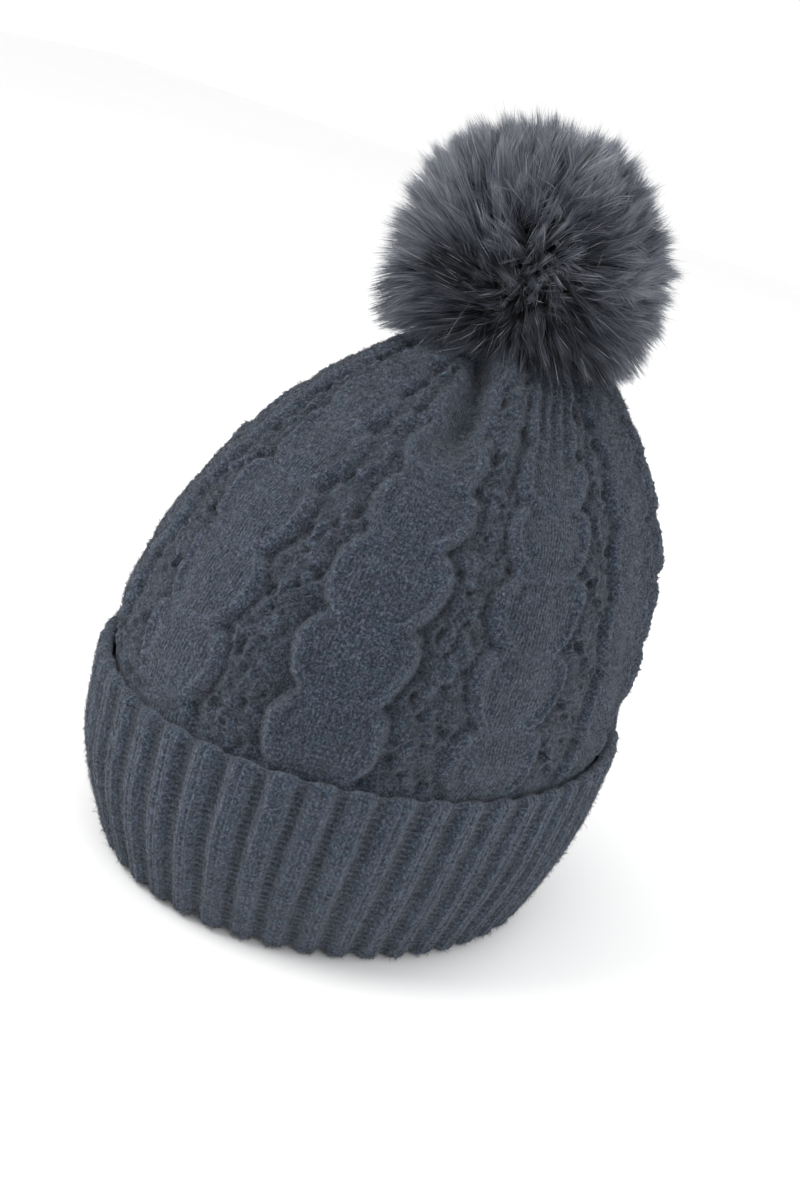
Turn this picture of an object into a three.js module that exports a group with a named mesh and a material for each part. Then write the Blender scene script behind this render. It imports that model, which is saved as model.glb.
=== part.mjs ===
// A knit beanie with a turned-up rib cuff, a cable-knit body and a snap-on faux-fur pompom.
// Millimetres, +Z up. The forehead is at -Y, the back seam at +Y, and the origin is the centre of
// the head opening, in the plane of the cuff's bottom fold.
import * as THREE from 'three';

// ---- Driving dimensions ----
const DEPTH_RATIO = 1.2; // front-to-back over side-to-side, as a head is
const HAT_HEIGHT = 213; // bottom fold to the top of the crown
const CROWN_LEAN = 44; // how far the crown slouches towards the back
const LEAN_EXPONENT = 1.66; // the slouch grows towards the top

const CUFF_HEIGHT = 72.5;
const FOLD_RADIUS = 82.6; // half width at the fold
const CUFF_EDGE_RADIUS = 99.3; // half width at the cuff's free edge
const CUFF_BULGE = 3.6;
const KNIT = 4; // thickness of one knitted layer
const LAYER_GAP = 0.8; // between the cuff and what it is folded over
const FOLD_HEIGHT = 4.7;
const TOUCH = 0.3; // gap between pieces that rest on each other

const SHELL_FOOT = 64.3; // where the rib band ends and the cables begin
const BELLY_HEIGHT = 94.3; // the widest part of the body
const BELLY_RADIUS = 96;
const CROWN_RADIUS = 26; // the flat, gathered top
const TAPER_A = 1.72; // how late the body starts to narrow
const TAPER_B = 0.73; // how round its shoulder is

const SEAT_DEPTH = 4; // the snap sits in a shallow dimple of the crown
const SEAT_RADIUS = 9;
const CROWN_HOLE_RADIUS = 5;

const POST_RADIUS = 2.4;
const SNAP_RADIUS = 8;
const STUD_HEAD_RADIUS = 3.2;
const SPRING_RADIUS = 4;
const SPRING_WIRE_RADIUS = 0.4;

const POMPOM_RADIUS = 56;
const POMPOM_HALF_HEIGHT = 60;
const POMPOM_LIFT = 23.4; // from the top of the crown to the pompom's middle
const POMPOM_FLOOR = 222; // underside of the pile, clear of the crown when the pompom tips
const POUCH_RADIUS = 25;
const POUCH_HALF_HEIGHT = 22;
const POUCH_LIFT = 32;
const POUCH_MOUTH_RADIUS = 9;

const ROUND_SIDES = 48; // facets around the knitted pieces
const FUR_SIDES = 24;
const SNAP_SIDES = 16;

const seatZ = HAT_HEIGHT - SEAT_DEPTH;

// ---- Colours ----
function cloth(colour, roughness = 0.95) {
  return new THREE.MeshStandardMaterial({ color: colour, roughness, metalness: 0 });
}

const ribYarn = () => cloth(0x434a53);
const cableYarn = () => cloth(0x414752);
const fur = () => cloth(0x3a3d44);
const wovenBlack = () => cloth(0x202226);
const feltBlack = () => cloth(0x25272b);
const stuffing = () => cloth(0xe8e6e0);
const satin = () => cloth(0x17181b, 0.6);
const nickel = () => new THREE.MeshStandardMaterial({ color: 0xb9bbbe, roughness: 0.25, metalness: 1 });

// ---- Shared geometry ----
const leanAt = (z) => CROWN_LEAN * (Math.max(z, 0) / HAT_HEIGHT) ** LEAN_EXPONENT;

// Turns a closed outline of [radius, z] points about +Z. The outline runs anticlockwise, with
// radius to the right and z up.
function turned(outline, sides) {
  const points = outline.map(([r, z]) => new THREE.Vector2(r, z));
  points.push(points[0].clone());
  return new THREE.LatheGeometry(points, sides).rotateX(Math.PI / 2);
}

// A solid of revolution that starts and ends on its own axis.
function turnedSolid(outline, sides) {
  const points = outline.map(([r, z]) => new THREE.Vector2(r, z));
  return new THREE.LatheGeometry(points, sides).rotateX(Math.PI / 2);
}

// Fits a turned piece to the head: longer from front to back, and leaning back as it rises.
function fittedToHead(geometry) {
  const position = geometry.attributes.position;
  for (let i = 0; i < position.count; i += 1) {
    const z = position.getZ(i);
    position.setY(i, DEPTH_RATIO * position.getY(i) + leanAt(z));
  }
  return geometry;
}

// The same outline moved inwards by a distance, point by point along its normals.
function inset(line, distance) {
  return line.map(([r, z], i) => {
    const [r0, z0] = line[Math.max(i - 1, 0)];
    const [r1, z1] = line[Math.min(i + 1, line.length - 1)];
    const length = Math.hypot(r1 - r0, z1 - z0);
    return [r - (distance * (z1 - z0)) / length, z + (distance * (r1 - r0)) / length];
  });
}

function part(name, geometry, material) {
  const mesh = new THREE.Mesh(geometry, material);
  mesh.name = name;
  return mesh;
}

// ---- The cuff and the band inside it ----
function cuffRadius(z) {
  const t = z / CUFF_HEIGHT;
  return FOLD_RADIUS + (CUFF_EDGE_RADIUS - FOLD_RADIUS) * t + CUFF_BULGE * Math.sin(Math.PI * t);
}

const cuffInnerRadius = (z) => cuffRadius(z) - KNIT;
const bandRadius = (z) => cuffInnerRadius(z) - LAYER_GAP;
const bandInnerRadius = (z) => bandRadius(z) - KNIT;

function cuffOuter() {
  const heights = [8, 20, 34, 48, 60, 68];
  const lip = 0.8;
  const roll = 2;
  const foldInner = bandInnerRadius(FOLD_HEIGHT);
  const outline = [
    [FOLD_RADIUS - roll, 0],
    [cuffRadius(2) - 0.3, 2],
    ...heights.map((z) => [cuffRadius(z), z]),
    [cuffRadius(CUFF_HEIGHT - lip), CUFF_HEIGHT - lip],
    [CUFF_EDGE_RADIUS - lip, CUFF_HEIGHT],
    [CUFF_EDGE_RADIUS - KNIT + lip, CUFF_HEIGHT],
    [cuffInnerRadius(CUFF_HEIGHT - lip), CUFF_HEIGHT - lip],
    ...heights.toReversed().map((z) => [cuffInnerRadius(z), z]),
    [cuffInnerRadius(FOLD_HEIGHT), FOLD_HEIGHT],
    [foldInner, FOLD_HEIGHT],
    [foldInner, roll],
    [foldInner + roll, 0],
  ];
  return part('cuff_outer', fittedToHead(turned(outline, ROUND_SIDES)), ribYarn());
}

function innerBand() {
  const heights = [FOLD_HEIGHT + TOUCH, 20, 34, 48, SHELL_FOOT - TOUCH];
  const outline = [
    ...heights.map((z) => [bandRadius(z), z]),
    ...heights.toReversed().map((z) => [bandInnerRadius(z), z]),
  ];
  return part('inner_band', fittedToHead(turned(outline, ROUND_SIDES)), ribYarn());
}

// ---- The cable-knit body ----
const shellFootRadius = bandRadius(SHELL_FOOT);

function shellRadius(z) {
  if (z < BELLY_HEIGHT) {
    const rise = (z - SHELL_FOOT) / (BELLY_HEIGHT - SHELL_FOOT);
    return shellFootRadius + (BELLY_RADIUS - shellFootRadius) * Math.sin((rise * Math.PI) / 2);
  }
  const t = (z - BELLY_HEIGHT) / (HAT_HEIGHT - BELLY_HEIGHT);
  return CROWN_RADIUS + (BELLY_RADIUS - CROWN_RADIUS) * (1 - t ** TAPER_A) ** TAPER_B;
}

function cableShell() {
  const heights = [SHELL_FOOT, 74, 94, 116, 138, 158, 176, 190, 201, 209];
  const outside = [
    ...heights.map((z) => [shellRadius(z), z]),
    [CROWN_RADIUS, HAT_HEIGHT],
    [CROWN_RADIUS * 0.66, HAT_HEIGHT - 0.8],
    [SEAT_RADIUS * 1.4, seatZ + 1.3],
    [SEAT_RADIUS, seatZ],
  ];
  const inside = inset(outside, KNIT);
  inside[0] = [shellFootRadius - KNIT, SHELL_FOOT];
  inside[inside.length - 1] = [SEAT_RADIUS, seatZ - KNIT];
  const outline = [
    ...outside,
    [CROWN_HOLE_RADIUS, seatZ],
    [CROWN_HOLE_RADIUS, seatZ - KNIT],
    ...inside.toReversed(),
  ];
  return part('cable_shell', fittedToHead(turned(outline, ROUND_SIDES)), cableYarn());
}

// ---- Yarns and label inside ----
const SEAM_RADIUS = 1.4;

function backSeam() {
  const clearance = TOUCH + 0.5 + SEAM_RADIUS;
  const heights = [8, 24, 40, 56, 72, 88, 104, 120, 136, 150, 162, 173, 183];
  const route = heights.map((z) => {
    const wall = z < SHELL_FOOT ? bandInnerRadius(z) : shellRadius(z) - KNIT / 0.9;
    return new THREE.Vector3(0, DEPTH_RATIO * (wall - clearance) + leanAt(z), z);
  });
  const curve = new THREE.CatmullRomCurve3(route);
  const section = new THREE.Shape().absarc(0, 0, SEAM_RADIUS, 0, 2 * Math.PI);
  const geometry = new THREE.ExtrudeGeometry(section, {
    extrudePath: curve,
    steps: 22,
    curveSegments: 4,
    bevelEnabled: false,
  });
  return part('back_seam', geometry, cableYarn());
}

function careLabel() {
  const width = 22;
  const height = 32;
  const thickness = 0.6;
  const bottom = 20;
  const top = bottom + height;
  const back = (z) => DEPTH_RATIO * bandInnerRadius(z) + leanAt(z);
  const slope = Math.atan2(back(top) - back(bottom), height);
  const mesh = part('care_label', new THREE.BoxGeometry(width, thickness, height), satin());
  const middle = bottom + height / 2;
  mesh.position.set(0, (back(bottom) + back(top)) / 2 - 2 * SEAM_RADIUS - 4, middle);
  mesh.rotation.x = -slope;
  return mesh;
}

function crownGatherYarn() {
  const yarnRadius = 1.2;
  const loopRadius = 12.5;
  const loop = new THREE.TorusGeometry(loopRadius, yarnRadius, 6, 24);
  const yarn = part('crown_gather_yarn', loop, cableYarn());
  yarn.position.set(0, leanAt(seatZ), seatZ - KNIT - TOUCH - yarnRadius - 0.1);
  return yarn;
}

// ---- The press snap ----
// Heights below are measured from the crown's seat, and the group is placed there.
const FLANGE = 1;
const studFoot = TOUCH;
const ringTop = -KNIT - TOUCH;

function snapStud() {
  const neckTop = 2.9;
  const outline = [
    [0, ringTop - FLANGE],
    [POST_RADIUS, ringTop - FLANGE],
    [POST_RADIUS, studFoot],
    [SNAP_RADIUS, studFoot],
    [SNAP_RADIUS, studFoot + FLANGE],
    [POST_RADIUS, studFoot + FLANGE],
    [POST_RADIUS, neckTop - 0.4],
    [STUD_HEAD_RADIUS, neckTop + 0.2],
    [STUD_HEAD_RADIUS, neckTop + 1.4],
    [POST_RADIUS, neckTop + 2.1],
    [0, neckTop + 2.3],
  ];
  return part('snap_stud', turnedSolid(outline, SNAP_SIDES), nickel());
}

function studBackingRing() {
  const hole = POST_RADIUS + TOUCH;
  const outline = [
    [hole, ringTop - FLANGE],
    [SNAP_RADIUS, ringTop - FLANGE],
    [SNAP_RADIUS, ringTop],
    [hole, ringTop],
  ];
  return part('stud_backing_ring', turned(outline, SNAP_SIDES), nickel());
}

const socketFoot = studFoot + FLANGE + TOUCH;
const lipHeight = 0.6;
const grooveTop = socketFoot + lipHeight + 1.5;
const springZ = (socketFoot + lipHeight + grooveTop) / 2;
const roofFoot = grooveTop + 2;
const socketTop = roofFoot + FLANGE;

function snapSpring() {
  const geometry = new THREE.TorusGeometry(SPRING_RADIUS, SPRING_WIRE_RADIUS, 6, SNAP_SIDES);
  const spring = part('snap_spring', geometry, nickel());
  spring.position.z = springZ;
  return spring;
}

function snapSocket() {
  const mouth = STUD_HEAD_RADIUS + 0.4;
  const groove = SPRING_RADIUS + SPRING_WIRE_RADIUS + 0.4;
  const outer = SNAP_RADIUS - 0.5;
  const outline = [
    [0, roofFoot],
    [mouth, roofFoot],
    [mouth, grooveTop],
    [groove, grooveTop],
    [groove, socketFoot + lipHeight],
    [mouth, socketFoot + lipHeight],
    [mouth, socketFoot],
    [outer, socketFoot],
    [outer, socketTop],
    [0, socketTop],
  ];
  return part('snap_socket', turnedSolid(outline, SNAP_SIDES), nickel());
}

const DISC_THICKNESS = 1.5;
const discFoot = socketTop + TOUCH;
const discTop = discFoot + DISC_THICKNESS;

function backingDisc() {
  const hole = POST_RADIUS + TOUCH;
  const radius = 10;
  const outline = [
    [hole, discFoot],
    [radius, discFoot],
    [radius, discTop],
    [hole, discTop],
  ];
  return part('backing_disc', turned(outline, SNAP_SIDES), feltBlack());
}

function socketCap() {
  const radius = 6;
  const capFoot = discTop + TOUCH;
  const outline = [
    [0, discFoot],
    [POST_RADIUS, discFoot],
    [POST_RADIUS, capFoot],
    [radius, capFoot],
    [radius - 0.3, capFoot + 0.8],
    [0, capFoot + 0.9],
  ];
  return part('socket_cap', turnedSolid(outline, SNAP_SIDES), nickel());
}

// ---- The pompom ----
// Heights are measured from the bottom fold, as the hat's own are.
const pompomZ = HAT_HEIGHT + POMPOM_LIFT;
const pouchZ = HAT_HEIGHT + POUCH_LIFT;

// Points of an ellipse from its bottom opening, of a given radius, up to its top.
function ellipseRise(radius, halfHeight, middle, opening, steps) {
  const start = Math.asin(opening / radius);
  return Array.from({ length: steps + 1 }, (_, i) => {
    const angle = start + ((Math.PI - start) * i) / steps;
    return [radius * Math.sin(angle), middle - halfHeight * Math.cos(angle)];
  });
}

function furBacking() {
  const thickness = 1.4;
  const outside = ellipseRise(POUCH_RADIUS, POUCH_HALF_HEIGHT, pouchZ, POUCH_MOUTH_RADIUS, 8);
  const inside = ellipseRise(
    POUCH_RADIUS - thickness, POUCH_HALF_HEIGHT - thickness, pouchZ, POUCH_MOUTH_RADIUS, 8,
  );
  outside[outside.length - 1][0] = 0;
  inside[inside.length - 1][0] = 0;
  const outline = [inside.at(-1), ...inside.slice(0, -1).toReversed(), ...outside];
  return part('fur_backing', turnedSolid(outline, FUR_SIDES), wovenBlack());
}

function fillCore() {
  const slack = 1.9;
  const outline = ellipseRise(POUCH_RADIUS - slack, POUCH_HALF_HEIGHT - slack, pouchZ, 0, 8);
  outline[0][0] = 0;
  outline[outline.length - 1][0] = 0;
  return part('fill_core', turnedSolid(outline, FUR_SIDES), stuffing());
}

function furPile() {
  const neck = 13;
  const gap = 0.6;
  const roomRadius = POUCH_RADIUS + gap;
  const room = ellipseRise(roomRadius, POUCH_HALF_HEIGHT + gap, pouchZ, neck, 8);
  room[room.length - 1][0] = 0;
  const floorRadius = POMPOM_RADIUS * Math.sqrt(1 - ((pompomZ - POMPOM_FLOOR) / POMPOM_HALF_HEIGHT) ** 2);
  const outside = ellipseRise(POMPOM_RADIUS, POMPOM_HALF_HEIGHT, pompomZ, 0, 12)
    .filter(([, z]) => z > POMPOM_FLOOR + 3);
  outside[outside.length - 1][0] = 0;
  const outline = [
    ...room.toReversed(),
    [neck, POMPOM_FLOOR],
    [floorRadius, POMPOM_FLOOR],
    ...outside,
  ];
  return part('fur_pile', turnedSolid(outline, FUR_SIDES), fur());
}

function pouchGatherThread() {
  const threadRadius = 0.7;
  const mouthZ = pouchZ - POUCH_HALF_HEIGHT * Math.sqrt(1 - (POUCH_MOUTH_RADIUS / POUCH_RADIUS) ** 2);
  const geometry = new THREE.TorusGeometry(POUCH_MOUTH_RADIUS, threadRadius, 6, SNAP_SIDES);
  const thread = part('pouch_gather_thread', geometry, wovenBlack());
  thread.position.z = mouthZ - threadRadius - TOUCH - 0.3;
  return thread;
}

// ---- Assembly ----
const snap = new THREE.Group();
snap.position.set(0, leanAt(seatZ), seatZ);
snap.add(snapStud(), studBackingRing(), snapSpring(), snapSocket(), backingDisc(), socketCap());

const pompom = new THREE.Group();
pompom.position.set(0, leanAt(seatZ), 0);
pompom.add(furBacking(), fillCore(), furPile(), pouchGatherThread());

const group = new THREE.Group();
group.add(cuffOuter(), innerBand(), cableShell(), backSeam(), careLabel(), crownGatherYarn());
group.add(snap, pompom);

export default group;
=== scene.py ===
"""A knit beanie with a rib cuff, a cable-knit body and a snap-on fur pompom, around its CAD frame."""
import math

import bpy
import numpy as np
from mathutils import Matrix, Vector, kdtree


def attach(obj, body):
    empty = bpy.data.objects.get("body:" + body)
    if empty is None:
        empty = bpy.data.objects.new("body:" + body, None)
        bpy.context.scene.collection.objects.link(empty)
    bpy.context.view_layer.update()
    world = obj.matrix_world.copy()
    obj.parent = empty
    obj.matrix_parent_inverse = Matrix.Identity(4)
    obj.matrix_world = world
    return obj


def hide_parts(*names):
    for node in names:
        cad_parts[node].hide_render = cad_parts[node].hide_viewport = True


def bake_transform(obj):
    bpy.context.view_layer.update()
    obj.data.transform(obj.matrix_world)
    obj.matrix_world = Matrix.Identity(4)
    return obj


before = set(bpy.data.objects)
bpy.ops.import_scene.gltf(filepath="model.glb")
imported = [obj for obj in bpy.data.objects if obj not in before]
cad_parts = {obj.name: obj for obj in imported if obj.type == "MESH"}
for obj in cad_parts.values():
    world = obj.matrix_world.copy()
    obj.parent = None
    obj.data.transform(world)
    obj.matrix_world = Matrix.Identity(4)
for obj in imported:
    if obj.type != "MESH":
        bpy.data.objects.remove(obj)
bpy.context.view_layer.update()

MM = 0.001
TAU = 2 * math.pi

# ---- The hat's own dimensions, in millimetres, as in the CAD part ----
DEPTH_RATIO = 1.2
HAT_HEIGHT = 213.0
CROWN_LEAN = 44.0
LEAN_EXPONENT = 1.66
CUFF_HEIGHT = 72.5
FOLD_RADIUS = 82.6
CUFF_EDGE_RADIUS = 99.3
CUFF_BULGE = 3.6
KNIT = 4.0
LAYER_GAP = 0.8
FOLD_HEIGHT = 4.7
TOUCH = 0.3
SHELL_FOOT = 64.3
BELLY_HEIGHT = 94.3
BELLY_RADIUS = 96.0
CROWN_RADIUS = 26.0
TAPER_A = 1.72
TAPER_B = 0.73
SEAT_Z = 209.0
CROWN_HOLE_RADIUS = 5.0
POMPOM_RADIUS = 56.0
POMPOM_HALF_HEIGHT = 60.0
POMPOM_Z = 236.4
POUCH_RADIUS = 25.0
POUCH_HALF_HEIGHT = 22.0
POUCH_Z = 245.0
POUCH_MOUTH_RADIUS = 9.0
SEAM_RADIUS = 1.4
GATHER_RADIUS, GATHER_YARN = 12.5, 1.2
THREAD_RADIUS = 0.7
LABEL = (22.0, 32.0, 0.6, 20.0)  # width, height, thickness and the height of its foot

# ---- The knitting ----
REPEATS = 10  # ring cables round the hat
RIBS = 48
COLUMN_PHASE = 0.2  # where the first ring column stands, in repeats from +X
RIB_PHASE = 0.883
ROW = 2.3  # height of one stitch
STITCHES = 20  # across one repeat


def lean_at(z):
    return CROWN_LEAN * (np.maximum(z, 0) / HAT_HEIGHT) ** LEAN_EXPONENT


AXIS_Y = float(lean_at(SEAT_Z))  # the snap's and the pompom's axis stands here
POUCH_CENTRE = np.array([0, AXIS_Y, POUCH_Z])
POUCH_SIZE = np.array([POUCH_RADIUS, POUCH_RADIUS, POUCH_HALF_HEIGHT])


def cuff_radius(z):
    t = z / CUFF_HEIGHT
    return FOLD_RADIUS + (CUFF_EDGE_RADIUS - FOLD_RADIUS) * t + CUFF_BULGE * np.sin(math.pi * t)


def band_radius(z):
    return cuff_radius(z) - KNIT - LAYER_GAP


FOOT_RADIUS = float(band_radius(SHELL_FOOT))


def shell_radius(z):
    rise = np.clip((z - SHELL_FOOT) / (BELLY_HEIGHT - SHELL_FOOT), 0, 1)
    low = FOOT_RADIUS + (BELLY_RADIUS - FOOT_RADIUS) * np.sin(rise * math.pi / 2)
    t = np.clip((z - BELLY_HEIGHT) / (HAT_HEIGHT - BELLY_HEIGHT), 0, 1)
    high = CROWN_RADIUS + (BELLY_RADIUS - CROWN_RADIUS) * (1 - t ** TAPER_A) ** TAPER_B
    return np.where(z < BELLY_HEIGHT, low, high)


# ---- Numeric helpers ----
def smooth(low, high, x):
    t = np.clip((x - low) / (high - low), 0, 1)
    return t * t * (3 - 2 * t)


def bell(x, width):
    return np.exp(-((x / width) ** 2))


def lattice(i, j, k, seed):
    h = (i * 374761393 + j * 668265263 + k * 1440662683 + seed * 1274126177) & 0xFFFFFFFF
    h = ((h ^ (h >> 13)) * 1103515245) & 0xFFFFFFFF
    h = ((h ^ (h >> 15)) * 2246822519) & 0xFFFFFFFF
    return ((h ^ (h >> 16)) & 0xFFFF) / 32767.5 - 1


def noise(points, size, seed):
    """Smooth noise from -1 to 1 at points of shape (..., 3), with features of the given size."""
    p = points / size
    cell = np.floor(p).astype(np.int64)
    f = p - cell
    f = f * f * (3 - 2 * f)
    total = 0
    for corner in range(8):
        dx, dy, dz = corner & 1, (corner >> 1) & 1, corner >> 2
        weight = np.where(dx, f[..., 0], 1 - f[..., 0])
        weight = weight * np.where(dy, f[..., 1], 1 - f[..., 1])
        weight = weight * np.where(dz, f[..., 2], 1 - f[..., 2])
        total = total + weight * lattice(cell[..., 0] + dx, cell[..., 1] + dy, cell[..., 2] + dz, seed)
    return total


def unit(v):
    return v / np.maximum(np.linalg.norm(v, axis=-1, keepdims=True), 1e-9)


def travelled(points):
    """Length along a line of points, up to each of them."""
    return np.concatenate([[0], np.cumsum(np.linalg.norm(np.diff(points, axis=0), axis=-1))])


def ellipse_angles(count):
    """Angles evenly spaced along the hat's oval, their shares of it, and its length for radius 1."""
    t = np.linspace(0, TAU, 20001)
    speed = np.hypot(np.sin(t), DEPTH_RATIO * np.cos(t))
    arc = np.concatenate([[0], np.cumsum((speed[1:] + speed[:-1]) / 2 * np.diff(t))])
    share = np.arange(count) / count
    return np.interp(share, arc / arc[-1], t), share, arc[-1]


OVAL_LENGTH = ellipse_angles(4)[2]


def drawn_in(theta, z):
    """How far the worn hat is drawn in on its right side, and at its fold on the left."""
    right = (theta - 0.35 + math.pi) % TAU - math.pi
    left = (theta - 4.15 + math.pi) % TAU - math.pi
    return 4.0 * bell(right, 0.65) * bell(z - 95, 45) + 3.2 * bell(left, 0.65) * smooth(45, 0, z)


def fitted(radius, theta, z):
    """Points of the hat: an oval of that radius at height z, leaning back as it rises."""
    radius = radius - drawn_in(theta, z)
    x = radius * np.cos(theta)
    y = DEPTH_RATIO * radius * np.sin(theta) + lean_at(z)
    return np.stack(np.broadcast_arrays(x, y, z), axis=-1)


def grid_normals(points):
    """Outward normals of a grid of points of shape (rows, columns, 3), whose columns close round."""
    along = np.gradient(points, axis=0)
    around = np.roll(points, -1, axis=1) - np.roll(points, 1, axis=1)
    return unit(np.cross(around, along))


# ---- Meshes ----
def mesh_object(name, points, faces, attributes=None, maps=None):
    """A mesh from points in millimetres and a list of face arrays, each with one face size.

    maps holds UV layers, as one (u, v) for each corner of each face, in the faces' order."""
    mesh = bpy.data.meshes.new(name)
    mesh.vertices.add(len(points))
    mesh.vertices.foreach_set("co", (np.asarray(points, float) * MM).astype(np.float32).ravel())
    faces = [np.asarray(f, np.int64) for f in faces if len(f)]
    loops = np.concatenate([f.ravel() for f in faces])
    sizes = np.concatenate([np.full(len(f), f.shape[1]) for f in faces])
    mesh.loops.add(len(loops))
    mesh.loops.foreach_set("vertex_index", loops.astype(np.int32))
    mesh.polygons.add(len(sizes))
    starts = np.concatenate([[0], np.cumsum(sizes)[:-1]])
    mesh.polygons.foreach_set("loop_start", starts.astype(np.int32))
    mesh.polygons.foreach_set("use_smooth", np.full(len(sizes), True))
    mesh.update(calc_edges=True)
    for key, values in (attributes or {}).items():
        attribute = mesh.attributes.new(key, "FLOAT", "POINT")
        attribute.data.foreach_set("value", np.asarray(values, np.float32).ravel())
    for key, corners in (maps or {}).items():
        layer = mesh.uv_layers.new(name=key)
        layer.data.foreach_set("uv", np.asarray(corners, np.float32).ravel())
    obj = bpy.data.objects.new(name, mesh)
    bpy.context.scene.collection.objects.link(obj)
    return obj


def ring_quads(rows, columns, offset=0, flip=False):
    """Quads of a grid whose columns close round on themselves."""
    i, j = np.meshgrid(np.arange(rows - 1), np.arange(columns), indexing="ij")
    k = (j + 1) % columns
    quads = np.stack([i * columns + j, i * columns + k, (i + 1) * columns + k, (i + 1) * columns + j], -1)
    quads = quads.reshape(-1, 4) + offset
    return quads[:, ::-1] if flip else quads


def cap(first, count, flip=False):
    """One face that closes a ring of vertices."""
    face = first + np.arange(count)[None, :]
    return face[:, ::-1] if flip else face


def ring_corners(u, v, period, flip=False):
    """The (u, v) of each corner of ring_quads, for u and v given at each point of the grid."""
    def around(values, extra):
        wrapped = np.concatenate([values, values[:, :1] + extra], axis=1)
        return np.stack([wrapped[:-1, :-1], wrapped[:-1, 1:], wrapped[1:, 1:], wrapped[1:, :-1]], -1)

    corners = np.stack([around(u, period), around(v, 0.0)], -1).reshape(-1, 4, 2)
    return corners[:, ::-1] if flip else corners


def stitch_rings(fine, coarse, ratio, flip=False):
    """Faces that join a fine ring of vertices to a coarse one with fewer vertices."""
    count = len(coarse)
    faces = []
    for i in range(count):
        j = (i + 1) % count
        strip = [fine[(i * ratio + k) % len(fine)] for k in range(ratio + 1)]
        face = strip[::-1] + [coarse[i], coarse[j]]
        faces.append(face[::-1] if flip else face)
    return np.array(faces)


# ---- Materials ----
class Paint:
    """A procedural material, built node by node around one Principled shader."""

    def __init__(self, name, roughness=0.9, metallic=0.0, sheen=0.0, sheen_roughness=0.5,
                 sheen_tint=(1, 1, 1), specular=0.3):
        self.material = bpy.data.materials.new(name)
        self.material.use_nodes = True
        self.tree = self.material.node_tree
        self.shader = next(n for n in self.tree.nodes if n.type == "BSDF_PRINCIPLED")
        for key, value in (("Roughness", roughness), ("Metallic", metallic), ("Sheen Weight", sheen),
                           ("Sheen Roughness", sheen_roughness), ("Sheen Tint", sheen_tint),
                           ("Specular IOR Level", specular)):
            self.put(self.shader.inputs[key], value)
        self.coordinates = self.tree.nodes.new("ShaderNodeTexCoord").outputs["Object"]

    def node(self, kind, **settings):
        made = self.tree.nodes.new(kind)
        for key, value in settings.items():
            setattr(made, key, value)
        return made

    def link(self, source, target):
        self.tree.links.new(source, target)

    def attribute(self, name):
        return self.node("ShaderNodeAttribute", attribute_name=name).outputs["Fac"]

    def noise(self, scale, detail=3.0, roughness=0.6, stretch=None):
        texture = self.node("ShaderNodeTexNoise")
        for key, value in (("Scale", scale), ("Detail", detail), ("Roughness", roughness)):
            texture.inputs[key].default_value = value
        vector = self.coordinates
        if stretch:
            mapping = self.node("ShaderNodeMapping")
            mapping.inputs["Scale"].default_value = stretch
            self.link(vector, mapping.inputs["Vector"])
            vector = mapping.outputs["Vector"]
        self.link(vector, texture.inputs["Vector"])
        return texture.outputs["Fac"]

    def ramp(self, factor, *stops):
        """A colour ramp with (position, (r, g, b)) stops."""
        made = self.node("ShaderNodeValToRGB")
        elements = made.color_ramp.elements
        while len(elements) < len(stops):
            elements.new(0.5)
        for element, (position, colour) in zip(elements, stops):
            element.position = position
            element.color = (*colour, 1)
        self.link(factor, made.inputs["Fac"])
        return made.outputs["Color"]

    def mix(self, factor, a, b, blend="MIX"):
        made = self.node("ShaderNodeMix", data_type="RGBA", blend_type=blend)
        for key, value in (("Factor", factor), ("A", a), ("B", b)):
            self.put(made.inputs[key], value)
        return [o for o in made.outputs if o.type == "RGBA"][0]

    def math(self, operation, a, b=0.0, third=0.0, clamp=False):
        made = self.node("ShaderNodeMath", operation=operation, use_clamp=clamp)
        for socket, value in zip(made.inputs, (a, b, third)):
            self.put(socket, value)
        return made.outputs[0]

    def stitches(self):
        """Rows of V stitches from the map named stitch, as a height from 0 to 1."""
        corner = self.node("ShaderNodeUVMap", uv_map="stitch").outputs["UV"]
        parts = self.node("ShaderNodeSeparateXYZ")
        self.link(corner, parts.inputs[0])
        beside = self.math("ABSOLUTE", self.math("SUBTRACT", self.math("FRACT", parts.outputs["X"]), 0.5))
        slant = self.math("SUBTRACT", parts.outputs["Y"], self.math("MULTIPLY", beside, 1.5))
        wave = self.math("COSINE", self.math("MULTIPLY", slant, TAU))
        leg = self.math("MULTIPLY_ADD", wave, 0.5, 0.5)
        across = self.math("POWER", self.math("SINE", self.math("MULTIPLY", beside, TAU)), 2.0)
        body = self.math("MULTIPLY_ADD", across, 0.45, 0.05)
        return self.math("MULTIPLY_ADD", leg, self.math("MULTIPLY", across, 0.5), body, clamp=True)

    def put(self, socket, value):
        if isinstance(value, bpy.types.NodeSocket):
            self.link(value, socket)
        elif isinstance(value, tuple):
            socket.default_value = (*value, 1)
        else:
            socket.default_value = value

    def colour(self, value):
        self.put(self.shader.inputs["Base Color"], value)
        return self

    def bump(self, height, distance, strength):
        made = self.node("ShaderNodeBump")
        made.inputs["Strength"].default_value = strength
        made.inputs["Distance"].default_value = distance
        self.link(height, made.inputs["Height"])
        self.link(made.outputs["Normal"], self.shader.inputs["Normal"])
        return self


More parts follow.
